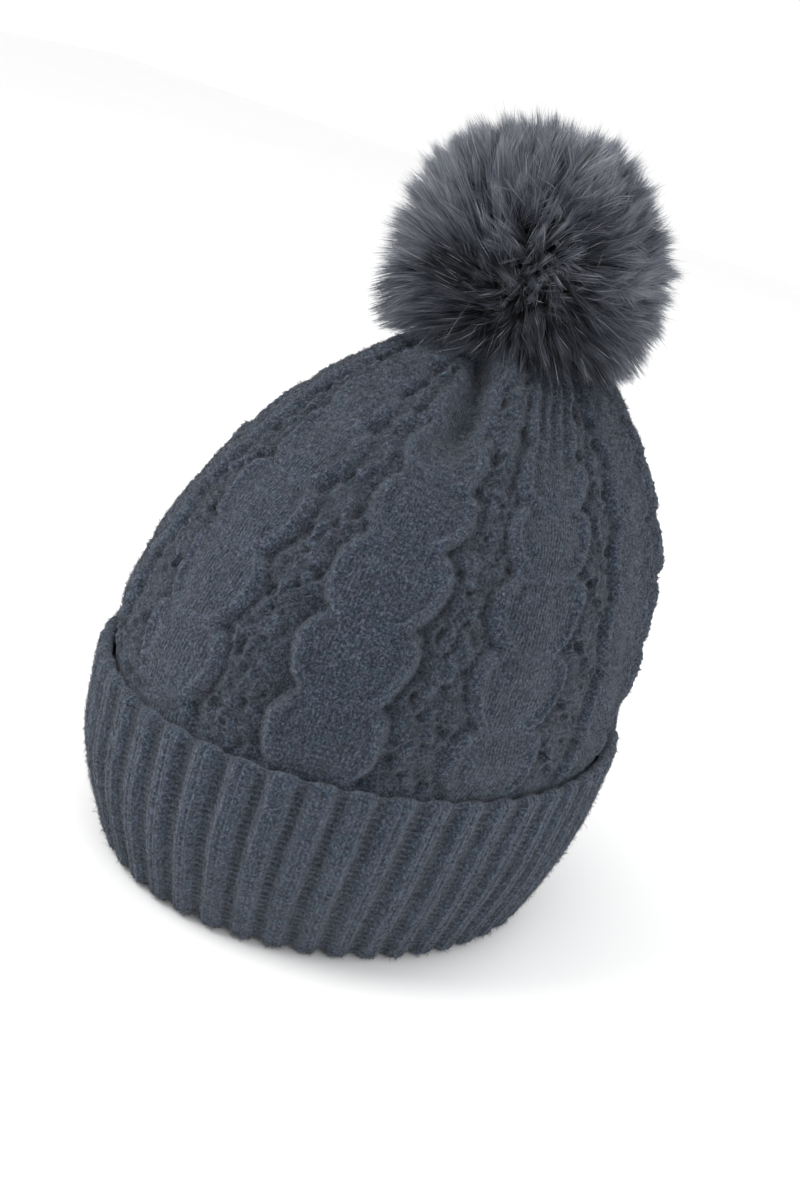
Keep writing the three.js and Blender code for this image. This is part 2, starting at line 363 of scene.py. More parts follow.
def yarn_paint(name, dark, middle, light):
    """Brushed acrylic yarn: heathered colour, with painted shade between its stitches and in its hollows,
    and a fine fibrous bump.
    """
    paint = Paint(name, roughness=0.95, sheen=0.3, sheen_roughness=0.45, sheen_tint=(0.82, 0.88, 1.0),
                  specular=0.12)
    heather = paint.noise(980, detail=2.5, roughness=0.85)
    colour = paint.ramp(heather, (0.36, dark), (0.50, middle), (0.64, light))
    hue = paint.ramp(paint.noise(260, detail=4), (0.35, (0.86, 1.04, 1.04)), (0.65, (1.12, 0.97, 1.05)))
    mottle = paint.ramp(paint.noise(60, detail=3), (0.25, (0.86, 0.86, 0.87)), (0.75, (1.12, 1.12, 1.11)))
    colour = paint.mix(1.0, paint.mix(1.0, colour, hue, "MULTIPLY"), mottle, "MULTIPLY")
    stitches = paint.stitches()
    plain = paint.attribute("plain")
    # Painted shade between the stitch legs, where the stitches show plainly.
    gap_shade = paint.math("MULTIPLY", paint.math("SUBTRACT", 1.0, stitches), plain)
    gap_shade = paint.math("MULTIPLY", gap_shade, 0.36, clamp=True)
    colour = paint.mix(gap_shade, colour, tuple(c * 0.7 for c in dark))
    # Painted shade in the knitting's hollows.
    hollow = paint.math("MULTIPLY", paint.attribute("hollow"), 0.85, clamp=True)
    paint.colour(paint.mix(hollow, colour, tuple(c * 0.3 for c in dark)))
    fibres = paint.noise(2400, detail=6, roughness=0.8, stretch=(1.0, 1.0, 0.6))
    relief = paint.math("MULTIPLY", paint.math("MULTIPLY", stitches, plain), 0.55)
    return paint.bump(paint.math("ADD", fibres, relief), 0.0009, 0.9).material


# Dark, middle and light yarn colours
BODY_COLOURS = ((0.009, 0.0135, 0.022), (0.0345, 0.0468, 0.0678), (0.129, 0.157, 0.207))
RIB_COLOURS = ((0.010, 0.014, 0.022), (0.0350, 0.0490, 0.0705), (0.118, 0.151, 0.202))


# ---- The cable-knit body; arc lengths run up its outline from the foot, in millimetres ----
SHELL_COLUMNS, SHELL_ROWS = 960, 300
LINING_RATIO, LINING_ROWS = 4, 60  # outer columns to one inside column, and the inside's rows
RING_CENTRES = (-6.0, 22.0, 50.0, 77.0, 103.0, 125.0, 143.0, 158.0, 169.0)
RING_HALF_HEIGHTS = (16.5, 16.5, 16.0, 15.5, 14.5, 12.0, 9.6, 7.6, 6.0)
RING_POWER = 2.3  # the rings are superellipses
COLUMN_LIFTS = (14, 12, 10, 8, 8, 8, 8, 8, 0, -2)  # mm, column by column from +X round through +Y
COLUMN_DRIFT = 0.15  # how far the columns turn on their way to the crown, in repeats
WIDTH_AT = ((0, 19.2), (50, 19.0), (77, 18.4), (100, 17.2), (124, 14.0), (145, 10.2), (165, 7.0),
            (176, 4.8))  # arc length, and half a ring's width there
LACE_PITCH = 10.6  # mm from one bend of the zigzag to the next
# The folds at the crown, placed in repeats round the hat
FOLD_PATH = ((112, 146, 159, 168, 190), (8.22, 8.14, 8.01, 7.74, 7.6))  # arc lengths, then places
RIDGE_PATH = ((112, 142, 159, 174, 190), (8.85, 8.65, 8.44, 8.10, 8.0))
SMALL_FOLDS = ((7.45, 2.6), (9.73, 3.4), (0.62, 2.6), (1.7, 3.0), (2.8, 2.4), (3.7, 3.2), (4.8, 2.4),
               (5.75, 3.0), (6.6, 2.5))  # place, and depth in mm


def shell_profile():
    """The body's outline from foot to crown hole: arc length, radius and height."""
    share = np.linspace(0, 1, 6001)
    z = SHELL_FOOT + (HAT_HEIGHT - SHELL_FOOT) * (1 - (1 - share) ** 3)
    r = shell_radius(z)
    seat = np.array([(21.0, 212.9), (17.2, 212.2), (14.6, 211.3), (12.6, 210.3), (10.8, 209.4),
                     (9.0, 209.0), (7.0, 208.95), (CROWN_HOLE_RADIUS, 208.9)])
    r = np.concatenate([r, seat[:, 0]])
    z = np.concatenate([z, seat[:, 1]])
    return travelled(np.stack([r, z], -1)), r, z


PROFILE = shell_profile()
SHELL_LENGTH = float(PROFILE[0][-1])
CROWN_S = float(np.interp(CROWN_RADIUS, PROFILE[1][::-1], PROFILE[0][::-1]))


def stockinette(across, row):
    """Rows of V stitches, as a height from 0 to 1, for a place counted in stitches and rows."""
    a = np.abs(across - np.floor(across) - 0.5)
    legs = 0.5 + 0.5 * np.cos(TAU * (row - 1.5 * a))
    rise = np.sin(TAU * a) ** 2
    return legs * (0.25 + 0.75 * rise) + 0.45 * rise


def lace_relief(x, y, half_width, spot):
    """The lace between the ring columns: a zigzag ridge with eyelets in its bends.

    x is measured from the middle of the lace. Returns its height, the painted shade in its eyelets, and the
    ridge."""
    zig = y / (2 * LACE_PITCH)
    zigzag = 2 * np.abs(2 * (zig - np.floor(zig + 0.5))) - 1
    ridge = bell(x - 0.42 * half_width * zigzag, 1.7)
    height = 1.1 * ridge - 0.3
    hollow = np.zeros_like(height)
    for side, start in ((1, 0.0), (-1, LACE_PITCH)):
        dy = (y - start + LACE_PITCH) % (2 * LACE_PITCH) - LACE_PITCH
        d = np.hypot(x + side * 0.50 * half_width, dy / 1.05)
        eyelet = smooth(3.5, 0.4, d + 0.9 * noise(spot, 2.6, 7))
        height += 0.3 * bell(d - 3.5, 0.9) - 3.2 * eyelet
        hollow = np.maximum(hollow, eyelet)
        dy = (y - start + 0.5 * LACE_PITCH) % (2 * LACE_PITCH) - LACE_PITCH
        d = np.hypot(x - side * 0.12 * half_width, dy)
        small = smooth(2.8, 0.3, d + 0.7 * noise(spot, 2.4, 8)) * smooth(7.5, 9.5, half_width)
        height -= 1.9 * small
        hollow = np.maximum(hollow, 0.8 * small)
    return height, hollow, ridge


def shell_relief(share, s, radius, spot):
    """The knitting above the plain surface: height, painted shade in its hollows, how plainly stitches
    show, and the stitch and row counted round and up the hat."""
    period = OVAL_LENGTH * radius / REPEATS
    wobble_x = 1.6 * noise(spot, 17, 3) + 0.7 * noise(spot, 6, 4)
    wobble_y = 1.4 * noise(spot, 19, 5) + 0.6 * noise(spot, 7, 6)
    u = share * REPEATS - COLUMN_PHASE + COLUMN_DRIFT * smooth(100, 170, s)
    column = np.floor(u + 0.5)
    across = u - column
    x = across * period + wobble_x
    y = s + wobble_y
    half_width = np.interp(s, *np.array(WIDTH_AT).T)
    size = np.clip(half_width / 16, 0.45, 1.0)
    panel = np.maximum(period / 2 - half_width, 3.0)
    height, hollow, ridge = lace_relief(x - np.where(x > 0, period / 2, -period / 2), y, panel, spot)
    stitches = stockinette(across * STITCHES, y / ROW) - 0.5
    purl = np.cos(TAU * y / ROW + 2.2 * np.sin(TAU * x / 3.1))
    rough = 0.6 * noise(spot, 3.4, 9) + 0.4 * noise(spot, 1.9, 10)
    height += 0.275 * purl + 0.35 * stitches + 1.1 * rough - 0.3
    # Painted shade over the sunken lace, less on its ridge and where the roughness rises.
    hollow = np.maximum(hollow, 0.44 - 0.50 * rough - 0.40 * ridge)

    # The rings, each laid over the one below it; d is the distance outside a ring's edge.
    plainness = np.zeros_like(height)
    lift = np.array(COLUMN_LIFTS, float)[column.astype(int) % REPEATS] * smooth(200, 120, s)
    for centre, half_height in zip(RING_CENTRES, RING_HALF_HEIGHTS):
        dy = y - centre - lift
        wide = half_width * (1 + 0.10 * np.clip(dy / half_height, -1, 1))
        rho = (np.abs(x) / wide) ** RING_POWER + (np.abs(dy) / half_height) ** RING_POWER
        rho **= 1 / RING_POWER
        far = np.hypot(x, dy)
        d = far * (1 - 1 / np.maximum(rho, 0.05))
        side = np.abs(x) / np.maximum(far, 1e-3)
        above = smooth(-0.35, 0.45, dy / half_height)
        power = (0.10 + 0.90 * smooth(0.35, 0.85, side)) * (1 - above) + above * smooth(0.30, 0.75, side)
        rope_half = (1.5 + 0.8 * smooth(0.3, 0.8, side)) * (0.55 + 0.45 * size)
        rope = np.cos(math.pi / 2 * np.clip((d + 0.8) / rope_half, -1, 1)) ** 1.4
        twist = np.cos(TAU * dy / 3.2 + np.sign(d + 0.8) * 1.2)
        edge = rope * (1.75 * size + 0.175 * twist) - 0.3 * bell(d + 0.8, 0.5) - 0.55 * bell(d + 5.0, 1.6)
        ring = 0.55 + 0.9 * (1 - np.clip(rho, 0, 1) ** 2) + 0.6 * stitches + edge * power
        cover = smooth(2.9, 0.9, d) * smooth(0.50, 0.49, np.abs(across))
        gutter = -1.4 * bell(d - 3.8, 2.2) * (0.25 + 0.75 * power) * size
        height = (height + gutter) * (1 - cover) + ring * cover
        # Painted shade in the gutter just outside each ring's edge.
        hollow = np.maximum(hollow, 0.25 * bell(d - 3.4, 1.2) * power) * (1 - cover)
        plainness = np.maximum(plainness * (1 - cover), smooth(-2.6, -4.2, d))
    stitch_u = u * STITCHES + wobble_x / np.maximum(period / STITCHES, 1.0)
    return height, hollow, plainness, stitch_u, y / ROW


def fold_relief(share, s):
    """The folds where the knitting is drawn together at the crown, and the shade in the deepest."""
    u = share * REPEATS
    fold = u - np.interp(s, *FOLD_PATH)
    ridge = u - np.interp(s, *RIDGE_PATH)
    height = -11.0 * bell(fold, 0.20) * smooth(110, 142, s)
    height += 5.6 * bell(ridge, 0.25) * smooth(118, 148, s)
    height += 1.3 * np.cos(TAU * 6 * u) * bell(u - 9.15, 0.6) * smooth(116, 146, s)
    for at, deep in SMALL_FOLDS:
        gap = (u - at + REPEATS / 2) % REPEATS - REPEATS / 2
        height -= deep * bell(gap, 0.17) * smooth(122, 155, s)
    fade = smooth(CROWN_S + 6, CROWN_S - 10, s)
    return height * fade, 0.75 * bell(fold, 0.15) * smooth(116, 146, s) * fade


def shell_layer(theta, share, s):
    """Plain points of the body for angles and arc lengths, and share, arc and radius on that grid."""
    s = s[:, None]
    r = np.interp(s, PROFILE[0], PROFILE[1])
    plain = fitted(r, theta[None, :], np.interp(s, PROFILE[0], PROFILE[2]))
    return plain, *(np.broadcast_to(values, plain.shape[:2]) for values in (share[None, :], s, r))


def build_shell():
    """The body, and its outer surface as a grid of points."""
    theta, share, _ = ellipse_angles(SHELL_COLUMNS)
    plain, around, s, r = shell_layer(theta, share, np.linspace(0, SHELL_LENGTH, SHELL_ROWS))
    relief, hollow, plainness, stitch_u, stitch_v = shell_relief(around, s, r, plain)
    folds, shaded = fold_relief(around, s)
    foot = 0.25 + 0.75 * smooth(5, 15, s)
    crown = smooth(SHELL_LENGTH - 12, SHELL_LENGTH - 30, s)
    height = (relief - 0.4) * foot * crown + folds
    height += 1.4 * noise(plain, 38, 11) * smooth(6, 30, s) * crown
    height += 0.9 * noise(plain, 12, 14) * smooth(10, 30, s) * crown
    lint = 0.22 * noise(plain, 1.5, 12) + 0.20 * noise(plain, 3.0, 13)
    height += lint * crown - 0.9 * smooth(16, 4, s)
    seam = (around - 0.25) * OVAL_LENGTH * r  # mm from the middle of the back
    height -= 1.1 * bell(seam, 1.3) * crown * smooth(CROWN_S, CROWN_S - 20, s)
    outer = plain + grid_normals(plain) * height[..., None]

    plain, inner_around, inner_s, _ = shell_layer(theta[::LINING_RATIO], share[::LINING_RATIO],
                                                  np.linspace(0, SHELL_LENGTH - 0.2, LINING_ROWS))
    folds, _ = fold_relief(inner_around, inner_s)
    inner = plain + grid_normals(plain) * (folds * 0.6 - KNIT)[..., None]
    outer[0, :, 2] = inner[0, :, 2] = SHELL_FOOT

    columns = SHELL_COLUMNS // LINING_RATIO
    base = SHELL_ROWS * SHELL_COLUMNS
    rim, inner_rim = np.arange(SHELL_COLUMNS), base + np.arange(columns)
    faces = [
        ring_quads(SHELL_ROWS, SHELL_COLUMNS),
        ring_quads(LINING_ROWS, columns, base, flip=True),
        stitch_rings(rim, inner_rim, LINING_RATIO),
        stitch_rings(rim + base - SHELL_COLUMNS, inner_rim + (LINING_ROWS - 1) * columns,
                     LINING_RATIO, flip=True),
    ]
    inside = np.zeros(LINING_ROWS * columns)
    # Painted shade in the knitting's hollows and deepest folds, less at the foot and none at the crown's
    # hole.
    hollow = np.maximum(hollow, shaded) * crown * foot
    attributes = {
        "hollow": np.concatenate([hollow.ravel(), inside]),
        "plain": np.concatenate([(0.25 + 0.75 * plainness).ravel(), inside + 0.5]),
    }
    # In the map for baking the outside has the lower part, the inside a strip above it.
    bridges = np.zeros((2 * columns, LINING_RATIO + 3, 2))
    round_hat = REPEATS * STITCHES
    scatter = 0.001 * np.random.default_rng(7).random(bridges.shape)
    maps = {
        "stitch": [ring_corners(stitch_u, stitch_v, round_hat),
                   ring_corners(inner_around * round_hat, inner_s / ROW, round_hat, flip=True),
                   bridges],
        "OFBake": [ring_corners(around, s / SHELL_LENGTH * 0.84, 1.0),
                   ring_corners(inner_around, 0.85 + inner_s / SHELL_LENGTH * 0.14, 1.0, flip=True),
                   bridges + np.array([0.5, 0.995]) + scatter],
    }
    maps = {key: np.concatenate([part.reshape(-1, 2) for part in parts]) for key, parts in maps.items()}
    points = np.concatenate([outer.reshape(-1, 3), inner.reshape(-1, 3)])
    return mesh_object("knit_body", points, faces, attributes, maps=maps), outer


# ---- The rib cuff and band ----
CUFF_COLUMNS, BAND_COLUMNS = 1248, 768
CUFF_LIP = 2.0  # radius of the cuff's free edge
CUFF_FLARE = 0.5  # how far the cuff flares towards that edge
FOLD_DROP = 3.1  # how far the fold's turn goes down, before its ribs
def rib_relief(share, y):
    """Height of the ribs above the plain surface, the painted shade in the grooves between them, and how
    much rib stands there; y is the distance along the rib in millimetres.
    """
    g = share * RIBS - RIB_PHASE
    g = g - np.floor(g + 0.5)
    rib = smooth(0.44, 0.14, np.abs(g))
    centre = bell(g, 0.04)
    legs = 0.5 + 0.5 * np.cos(TAU * (y / ROW - 5.0 * np.abs(g)))
    ladder = 0.5 + 0.5 * np.cos(TAU * y / ROW)
    height = 2.5 * rib - 0.45 * centre + 0.28 * rib * (legs - 0.5) + 0.5 * (1 - rib) * (ladder - 0.5)
    return height - 1.3, (1 - rib) ** 2 * (0.42 + 0.45 * (1 - ladder)), rib


def lathe_piece(name, section, columns):
    """A closed ribbed ring, and its points as a grid. Each row of section is a radius, a height, an
    outward direction (out, up), and how much of the ribs shows there."""
    theta, share, _ = ellipse_angles(columns)
    section = np.concatenate([section, section[:1]])
    r, z, out, up, gain = (section[:, k:k + 1] for k in range(5))
    plain = fitted(r, theta[None, :], z)
    along = travelled(section[:, :2])[:, None]
    share_grid = np.broadcast_to(share[None, :], plain.shape[:2])
    y = along + 0.7 * noise(plain, 14, 21)
    bent_share = share_grid + 0.0009 * noise(plain, 22, 22)
    relief, hollow, rib = rib_relief(bent_share, y)
    radial = unit(np.stack([np.cos(theta) * DEPTH_RATIO, np.sin(theta), 0 * theta], -1))
    normals = unit(out[..., None] * radial + up[..., None] * np.array([0, 0, 1.0]))
    lint = 0.16 * noise(plain, 1.5, 23) + 0.16 * noise(plain, 3.2, 24)
    points = (plain + normals * ((relief + lint) * gain)[..., None])[:-1]
    rows = len(points)
    quads = ring_quads(rows + 1, columns) % (rows * columns)
    # The grooves between the ribs carry painted shade.
    attributes = {"hollow": (hollow * gain)[:-1], "plain": (0.35 + 0.5 * rib)[:-1]}
    v = np.broadcast_to(along / along[-1], plain.shape[:2])
    maps = {
        "stitch": ring_corners((bent_share * RIBS - RIB_PHASE) * 4, y / ROW, RIBS * 4),
        "OFBake": ring_corners(share_grid, v, 1.0),
    }
    return mesh_object(name, points.reshape(-1, 3), [quads], attributes, maps=maps), points


def cuff_wall(z):
    """The outside of the turned-up layer, without its ribs."""
    return float(cuff_radius(z)) + CUFF_FLARE * smooth(58, CUFF_HEIGHT, z)


def cuff_section():
    """Rows for lathe_piece, from the fold's inside edge, round the fold, up the outside and back down."""
    fold_inner = float(band_radius(FOLD_HEIGHT)) - KNIT
    fold_outer = float(cuff_radius(FOLD_HEIGHT))
    middle, half = (fold_inner + fold_outer) / 2, (fold_outer - fold_inner) / 2
    top = CUFF_HEIGHT - CUFF_LIP
    rows = []
    for a in np.linspace(math.pi, TAU, 26):
        c, s = math.cos(a), math.sin(a)
        gain = 0.3 + 0.7 * smooth(0.1, 0.9, a / math.pi - 1)
        rows.append((middle + half * c, FOLD_HEIGHT + FOLD_DROP * s, c, s, gain))
    for z in np.linspace(FOLD_HEIGHT, top, 100)[1:]:
        rows.append((cuff_wall(z), z, 1, -0.1, 1.0))
    edge = float(cuff_radius(top)) + CUFF_FLARE - CUFF_LIP
    for a in np.linspace(0, math.pi, 12)[1:-1]:
        c, s = math.cos(a), math.sin(a)
        rows.append((edge + CUFF_LIP * c, top + CUFF_LIP * s, c, s, 0.75 - 0.6 * a / math.pi))
    for z in np.linspace(top, FOLD_HEIGHT + 0.2, 24):
        rows.append((cuff_wall(z) - KNIT, z, -1, 0.1, 0.12))
    rows.append(((fold_outer - KNIT + fold_inner) / 2, FOLD_HEIGHT, 0, 1, 0.0))
    return np.array(rows)


def band_section():
    """Rows for lathe_piece, up the band's outside and down its inside."""
    heights = np.linspace(FOLD_HEIGHT + TOUCH, SHELL_FOOT - TOUCH, 70)
    outside = [(float(band_radius(z)) - 0.4, z, 1, 0, 0.12) for z in heights]
    inside = [(float(band_radius(z)) - KNIT, z, -1, 0, 0.55) for z in heights[::-1]]
    return np.array(outside + inside)


# ---- Fuzz and fur, as real fibres ----
def fibre_mesh(name, lines, widths, shade, rng):
    """Flat tapered fibres. lines is (fibres, points, 3); widths run from root to tip."""
    count, steps, _ = lines.shape
    axis = unit(lines[:, -1] - lines[:, 0])
    across = unit(np.cross(axis, unit(rng.normal(size=(count, 3)))))
    half = across[:, None] * (widths[..., :-1, None] / 2)
    pairs = np.stack([lines[:, :-1] - half, lines[:, :-1] + half], 2).reshape(count, 2 * (steps - 1), 3)
    points = np.concatenate([pairs, lines[:, -1:]], 1)
    per = 2 * (steps - 1) + 1
    base = np.arange(count)[:, None] * per
    quads = [base + np.array([2 * i, 2 * i + 1, 2 * i + 3, 2 * i + 2]) for i in range(steps - 2)]
    faces = [np.concatenate(quads), base + np.array([per - 3, per - 2, per - 1])]
    along = np.concatenate([np.repeat(np.arange(steps - 1) / (steps - 1), 2), [1.0]])
    along = np.broadcast_to(along, (count, per))
    shade = np.broadcast_to(shade[:, None], (count, per))
    # The colour depends only on shade and on the place along the fibre, so those two are the map.
    side = np.array([-0.004, 0.004] * (steps - 1) + [0.0])
    corners = np.stack([shade * 0.97 + 0.015 + side, along * 0.97 + 0.015], -1).reshape(-1, 2)
    order = np.concatenate([f.ravel() for f in faces])
    return mesh_object(name, points.reshape(-1, 3), faces, {"along": along, "shade": shade},
                       maps={"OFBake": corners[order]})


def surface_fuzz(name, grid, count, seed, rows, length):
    """Short loose fibres lying on rows of a knitted grid, of lengths in millimetres."""
    rng = np.random.default_rng(seed)
    part = grid[rows[0]:rows[1]]
    normals = grid_normals(part)
    area = np.linalg.norm(np.gradient(part, axis=0), axis=-1) * np.linalg.norm(
        np.roll(part, -1, axis=1) - part, axis=-1)
    chance = np.cumsum(area.ravel())
    picked = np.searchsorted(chance, rng.random(count) * chance[-1])
    root = part.reshape(-1, 3)[picked] + rng.normal(scale=0.25, size=(count, 3))
    normal = normals.reshape(-1, 3)[picked]
    root = root - normal * 0.15
    heading = unit(np.cross(normal, rng.normal(size=(count, 3))))
    rise = rng.uniform(0.05, 0.45, count)[:, None]
    long = rng.uniform(*length, count)[:, None]
    stray = rng.random((count, 1)) < 0.05
    rise = np.where(stray, rise + 0.6, rise)
    long = np.where(stray, long * 1.6, long)
    bend = unit(np.cross(normal, heading)) * rng.normal(scale=0.28, size=(count, 1))
    middle = root + long * 0.5 * unit(heading + normal * (rise + 0.25) + bend)
    tip = middle + long * 0.5 * unit(heading + normal * (rise - 0.15) - bend)
    lines = np.stack([root, middle, tip], 1)
    lines[..., 2] = np.maximum(lines[..., 2], 0.1)
    widths = np.broadcast_to(np.array([0.15, 0.12, 0.0]), (count, 3)) * rng.uniform(0.7, 1.3, (count, 1))
    return fibre_mesh(name, lines, widths, rng.random(count), rng)


def crown_ceiling():
    """The crown's highest point at each distance from the pompom's axis, whichever way it is turned."""
    theta = np.linspace(0, TAU, 241)
    points = shell_layer(theta, theta, np.linspace(60, SHELL_LENGTH, 400))[0]
    far = np.hypot(points[..., 0], points[..., 1] - AXIS_Y).ravel()
    bins = np.arange(8, 76, 1.0)
    high = np.array([points[..., 2].ravel()[np.abs(far - b) < 1.5].max() for b in bins])
    return bins, np.maximum.accumulate(high[::-1])[::-1]


CEILING = crown_ceiling()

# Directions in the pile, from the pompom's middle
FUR_NOTCH = np.array([-0.878, -0.441, 0.183])  # where the pile parts beside its left lobe
FUR_LOBE = np.array([-0.787, -0.557, -0.264])
FUR_FRONT = np.array([0.478, -0.822, 0.311])  # where the pile opens and its dark roots show
FUR_UP = np.array([-0.390, 0.118, 0.913])
FUR_SIDE = np.array([0.787, 0.557, 0.264])
FUR_SHIFT = np.array([-4.0, -2.6, 1.6])  # mm; the pile hangs a little to the left of its axis
FUR_TUFTS = 4200
FUR_STEPS = 6  # points along a fibre


def fur_radius(direction):
    """How far the pile's ends reach from the pompom's middle in each direction, in millimetres."""
    ball = 1 / np.sqrt((direction[:, 0] ** 2 + direction[:, 1] ** 2) / POMPOM_RADIUS ** 2
                       + direction[:, 2] ** 2 / POMPOM_HALF_HEIGHT ** 2)
    lumps = 1.045 + 0.035 * noise(direction * 50, 30, 31) + 0.02 * noise(direction * 50, 12, 32)
    notch = np.arccos(np.clip(direction @ FUR_NOTCH, -1, 1))
    lobe = np.arccos(np.clip(direction @ FUR_LOBE, -1, 1))
    return ball * lumps * (1 - 0.11 * bell(notch, 0.15) + 0.05 * bell(lobe, 0.35))


def build_fur(name, count, seed):
    """The pile: tufts of fine fibres combed different ways."""
    rng = np.random.default_rng(seed)
    heading = unit(rng.normal(size=(int(count * 1.4), 3)))
    heading = heading[heading[:, 2] > -0.72][:count]  # none grows from the pouch's mouth
    count = len(heading)

    # Combing, in broad waves and small ones, and upwards at the left.
    ball = heading * 50
    combed = np.stack([noise(ball, 44, key) for key in (41, 42, 43)], -1)
    ruffled = np.stack([noise(ball, 15, key) for key in (44, 45, 46)], -1)
    front = heading @ FUR_FRONT
    opened = smooth(0.2, 0.8, front)[:, None]
    aim = unit(heading + (0.50 * combed + 0.24 * ruffled) * (0.5 + 0.5 * opened))
    brushed = 0.38 * smooth(-0.05, -0.75, heading @ FUR_SIDE) * smooth(-0.30, 0.20, heading @ FUR_UP)
    aim = unit(aim + brushed[:, None] * FUR_UP + 0.29 * opened * (FUR_SIDE + FUR_UP))

    # Tufts: each fibre is drawn to the nearest, and leans as it does.
    tufts = unit(rng.normal(size=(FUR_TUFTS, 3)))
    tree = kdtree.KDTree(FUR_TUFTS)
    for i, place in enumerate(tufts):
        tree.insert(place, i)
    tree.balance()
    near = np.array([tree.find(h)[1] for h in aim])
    pull = rng.beta(2.6, 2.2, count)[:, None] * 0.80
    aim = unit(aim * (1 - pull) + tufts[near] * pull)
    lean = unit(rng.normal(size=(FUR_TUFTS, 3))) * rng.gamma(1.6, 0.15, (FUR_TUFTS, 1))
    aim = unit(aim + lean[near] * (0.30 + 1.1 * opened))
    tuft_reach = rng.normal(scale=0.030, size=FUR_TUFTS)[near]

    # Each fibre bends from its root on the pouch to its tip, with a curl, and clears the crown.
    root = POUCH_CENTRE + heading * POUCH_SIZE * 0.86
    root -= 5.0 * opened * (FUR_SIDE + 0.4 * FUR_UP)
    reach = fur_radius(aim) * (1 - 0.20 * rng.beta(1.1, 3.0, count) + tuft_reach)
    tip = np.array([0, AXIS_Y, POMPOM_Z]) + FUR_SHIFT + aim * reach[:, None]
    bend = 0.5 * (root + heading * 22.0) + 0.25 * (root + tip)
    t = np.linspace(0, 1, FUR_STEPS)[None, :, None]
    lines = (1 - t) ** 2 * root[:, None] + 2 * t * (1 - t) * bend[:, None] + t ** 2 * tip[:, None]
    curl = unit(rng.normal(size=(count, 3)))[:, None]
    lines += curl * t ** 2 * rng.gamma(1.3, 1.0, (count, 1, 1))
    far = np.hypot(lines[..., 0], lines[..., 1] - AXIS_Y)
    floor = np.interp(far, *CEILING) + 1.6 + 2.0 * rng.random((count, 1))
    lines[..., 2] += np.maximum(floor - lines[..., 2], 0) * smooth(0, 0.25, t[..., 0])
    widths = np.interp(t[..., 0], (0, 0.5, 0.8, 1.0), (0.24, 0.23, 0.18, 0.0))
    widths = widths * rng.uniform(0.65, 1.25, (count, 1))

    # Painted shade where the pile is open and its roots show, on its underside and in the notch beside its
    # left lobe; painted light at the rim and away from the open front; the rest is random tone, tuft by
    # tuft and fibre by fibre.
    upward = aim @ FUR_UP + 0.10 * noise(ball, 22, 49)
    sideways = aim @ FUR_SIDE + 0.10 * noise(ball, 18, 47)
    parted = smooth(-0.1, 0.35, front)
    rim = smooth(0.62, 0.86, np.hypot(sideways + 0.12, np.maximum(upward + 0.10, 0.25 * upward)))
    lit = np.maximum(rim, 1 - parted)
    root_shade = bell(np.hypot(sideways + 0.62, upward + 0.12), 0.30)
    root_shade += bell(np.hypot(sideways - 0.50, upward - 0.08), 0.26)
    root_shade = np.maximum(np.minimum(root_shade, 1), smooth(-0.12, -0.45, upward)) * parted
    beside = bell(np.hypot((sideways + 0.74) / 0.30, (upward + 0.08) / 0.15), 1.0)
    shade = 0.39 + 0.07 * lit - 0.30 * root_shade * (1 - 0.8 * rim) + rng.normal(0, 0.08, count)
    shade += 0.04 * noise(ball, 9, 48) - 0.24 * beside * smooth(-0.35, 0.05, front)
    shade += rng.normal(0, 0.085, FUR_TUFTS)[near]
    strands = rng.random(count) < 0.025
    shade = np.where(strands, 0.80 + 0.20 * rng.random(count), shade)
    return fibre_mesh(name, lines, widths, np.clip(shade, 0, 1), rng)


# ---- Yarns, label, pouch and stuffing inside ----
def twisted_yarn(name, route, radius, pitch, side, closed=False):
    """Two plies twisted round each other along a route of points in the plane square to side."""
    sides = 10
    if closed:
        tangent = np.roll(route, -1, axis=0) - np.roll(route, 1, axis=0)
    else:
        tangent = np.gradient(route, axis=0)
    side = np.broadcast_to(np.array(side, float), route.shape)
    up = unit(np.cross(unit(tangent), side))
    along = travelled(np.concatenate([route, route[:1] if closed else route[-1:]]))
    turns = round(along[-1] / pitch)
    angle = TAU * turns * along[:-1, None] / along[-1]
    a = np.linspace(0, TAU, sides, endpoint=False)[None, :, None]
    round_ply = np.cos(a) * side[:, None] + np.sin(a) * up[:, None]
    points, faces = [], []
    for first in (0.0, math.pi):
        centre = route + radius * 0.46 * (np.cos(angle + first) * side + np.sin(angle + first) * up)
        base = len(points) * len(route) * sides
        rows = len(route) + 1 if closed else len(route)
        faces.append(ring_quads(rows, sides, flip=True) % (len(route) * sides) + base)
        if not closed:
            faces += [cap(base, sides), cap(base + (len(route) - 1) * sides, sides, flip=True)]
        points.append((centre[:, None] + radius * 0.52 * round_ply).reshape(-1, 3))
    return mesh_object(name, np.concatenate(points), faces)


def inside_wall(z):
    """Radius of the inside of the band, or of the body above it, at height z."""
    if z < SHELL_FOOT:
        return band_radius(z) - KNIT
    return float(shell_radius(z)) - KNIT / 0.9  # the wall slopes, so it is thicker measured level


def build_seam_yarn():
    z = np.linspace(8, 183, 420)
    knots = np.array([8, 24, 40, 56, 72, 88, 104, 120, 136, 150, 162, 173, 183], float)
    wall = np.array([inside_wall(h) for h in knots]) - (TOUCH + 0.5 + SEAM_RADIUS)
    y = np.interp(z, knots, DEPTH_RATIO * wall + lean_at(knots))
    y = np.convolve(np.pad(y, 12, mode="edge"), np.ones(25) / 25, mode="valid")
    return twisted_yarn("back_seam_yarn", np.stack([0 * z, y, z], -1), SEAM_RADIUS, 4.2, (1, 0, 0))


def build_loop_yarn(name, loop_radius, yarn_radius, z, pitch):
    a = np.linspace(0, TAU, 240, endpoint=False)
    route = np.stack([loop_radius * np.cos(a), AXIS_Y + loop_radius * np.sin(a), np.full_like(a, z)], -1)
    return twisted_yarn(name, route, yarn_radius, pitch, (0, 0, 1), closed=True)


